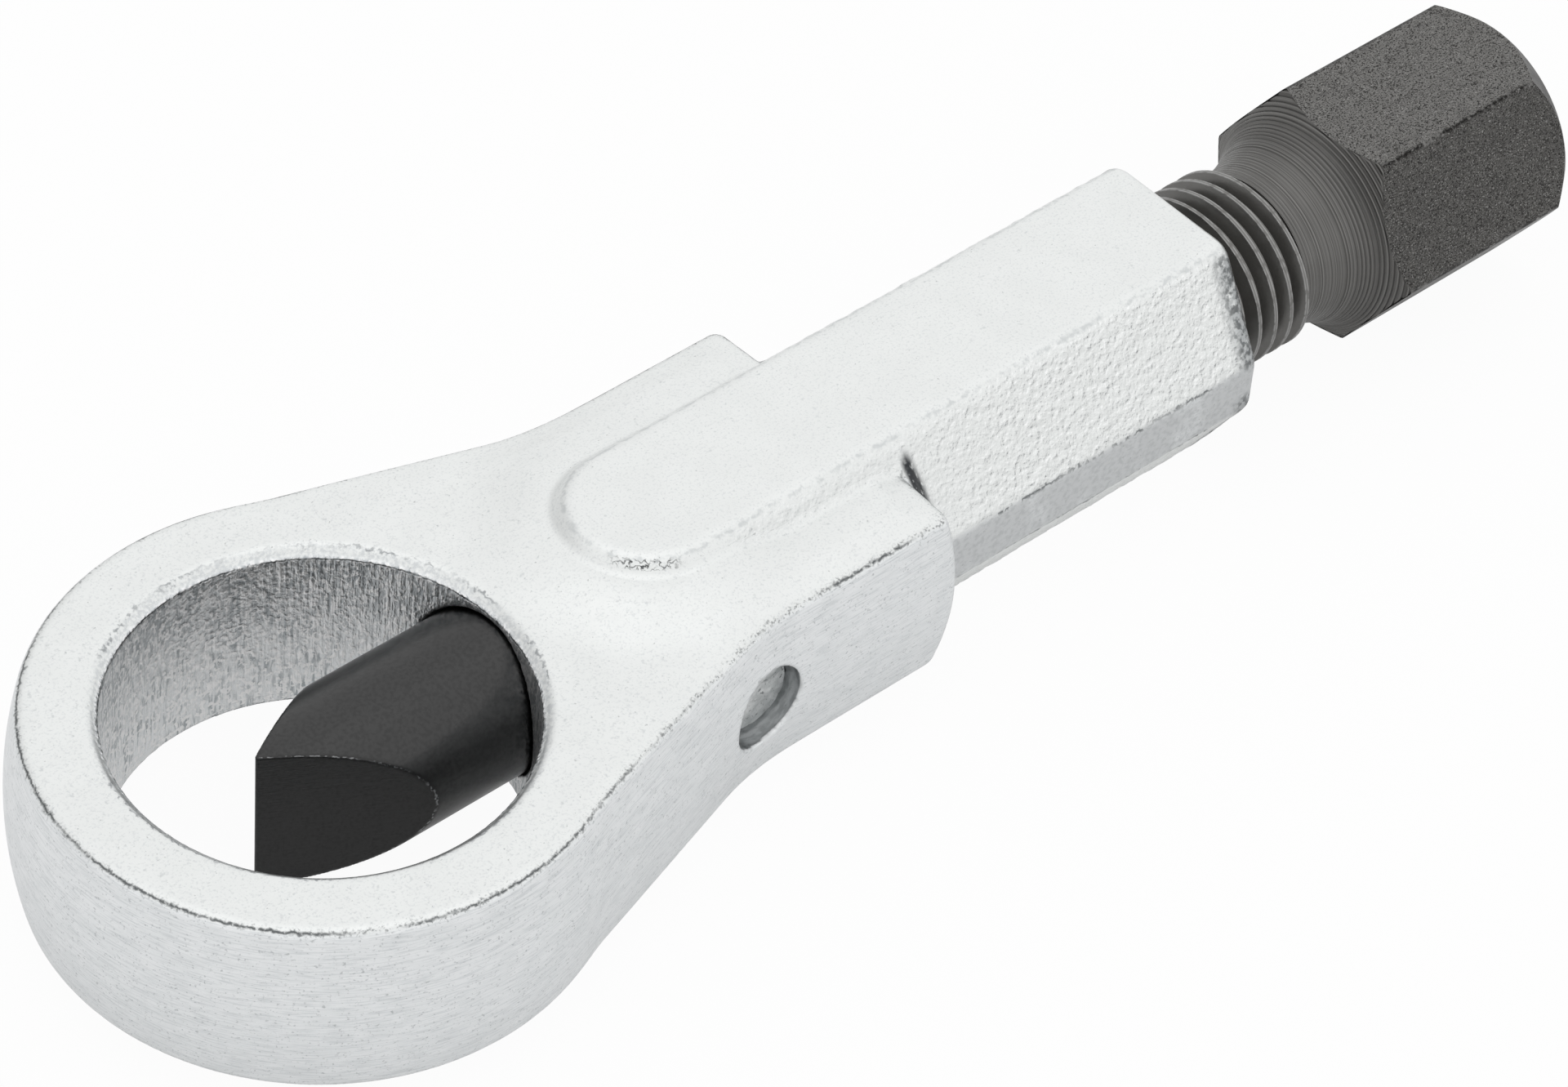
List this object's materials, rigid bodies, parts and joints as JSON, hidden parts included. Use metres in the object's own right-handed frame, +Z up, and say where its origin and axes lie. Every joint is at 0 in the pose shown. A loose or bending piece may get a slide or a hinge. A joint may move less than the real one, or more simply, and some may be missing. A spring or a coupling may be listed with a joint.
{
  "type": "nut splitter",
  "caption": "Hand tool with a flat forged ring on a shank; a hex-headed screw drives a keyed wedge chisel across the ring to crack a seized nut.",
  "frame": {"origin": "middle of the bounding box at the level of the shank's lower flat, on which the tool lies", "axes": "+X along the screw towards the hex head, +Z up, square to the ring's faces, so the guide pin's side hole faces -Y"},
  "size_m": [0.1636, 0.0516, 0.024],
  "materials": {
    "zinc_steel": "bright zinc plating, satin",
    "pin_steel": "turned",
    "black_steel": "black oxide, semi-gloss",
    "ball_steel": "polished",
    "phosphate_steel": "dark phosphate, satin",
    "spring_steel": "oiled spring wire"
  },
  "bodies": {
    "frame": {"forged_body": "zinc_steel", "guide_pin": "pin_steel"},
    "chisel": {"chisel": "black_steel", "thrust_ball": "ball_steel"},
    "spindle": {"spindle": "phosphate_steel", "retaining_ring": "spring_steel"}
  },
  "joints": [
    {"name": "chisel_feed", "type": "slide", "parent": "frame", "child": "chisel", "axis": [-1, 0, 0], "range_m": [-0.015, 0.0095]},
    {"name": "spindle_turn", "type": "hinge", "parent": "chisel", "child": "spindle", "pos_m": [0.03, 0, 0.012], "axis": [-1, 0, 0], "range_deg": [-2702, 1712]}
  ],
  "couplings": [
    {"joint": "spindle_turn", "follows": "chisel_feed", "rad_per_m": 3141.6}
  ]
}
